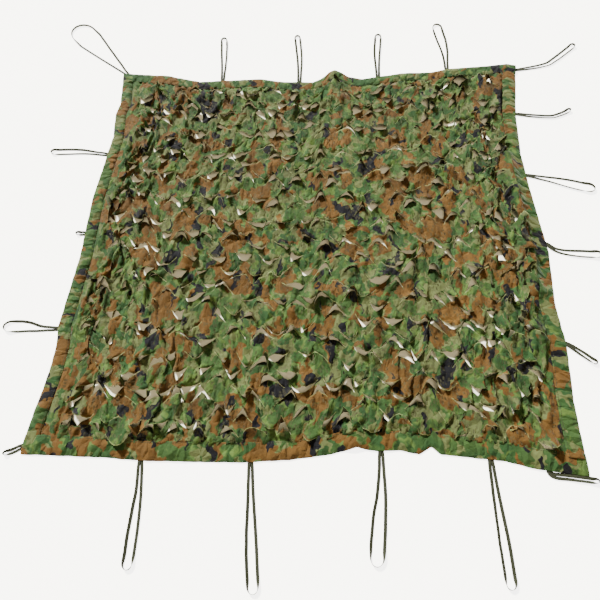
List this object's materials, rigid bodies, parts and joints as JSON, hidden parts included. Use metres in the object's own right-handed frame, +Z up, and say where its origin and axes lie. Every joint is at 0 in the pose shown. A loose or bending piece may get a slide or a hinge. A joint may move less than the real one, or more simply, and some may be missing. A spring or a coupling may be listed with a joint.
{
  "type": "camouflage net",
  "caption": "Square leaf-cut camouflage net with a gathered binding and tape tie loops, laid out flat.",
  "frame": {"origin": "middle of the bound net on the surface that it lies on", "axes": "+X across the net, +Y towards its far edge, +Z up out of the cloth"},
  "size_m": [2.6676, 2.8216, 0.054],
  "materials": {
    "leaf_cut_cloth": "woodland print on thin woven polyester",
    "binding_cloth": "the same printed cloth, folded and gathered",
    "tie_tape": "olive drab woven tape"
  },
  "bodies": {
    "root": {"net": "leaf_cut_cloth", "binding_top": "binding_cloth", "binding_right": "binding_cloth", "binding_bottom": "binding_cloth", "binding_left": "binding_cloth", "tie_top_left_corner": "tie_tape", "tie_top_1": "tie_tape", "tie_top_2": "tie_tape", "tie_top_3": "tie_tape", "tie_top_4": "tie_tape", "tie_top_right_corner": "tie_tape", "tie_right_1": "tie_tape", "tie_right_2": "tie_tape", "tie_right_3": "tie_tape", "tie_right_4": "tie_tape", "tie_bottom_right_corner": "tie_tape", "tie_bottom_4": "tie_tape", "tie_bottom_3": "tie_tape", "tie_bottom_2": "tie_tape", "tie_bottom_1": "tie_tape", "tie_bottom_left_corner": "tie_tape", "tie_left_3": "tie_tape", "tie_left_2": "tie_tape", "tie_left_1": "tie_tape"}
  },
  "joints": []
}
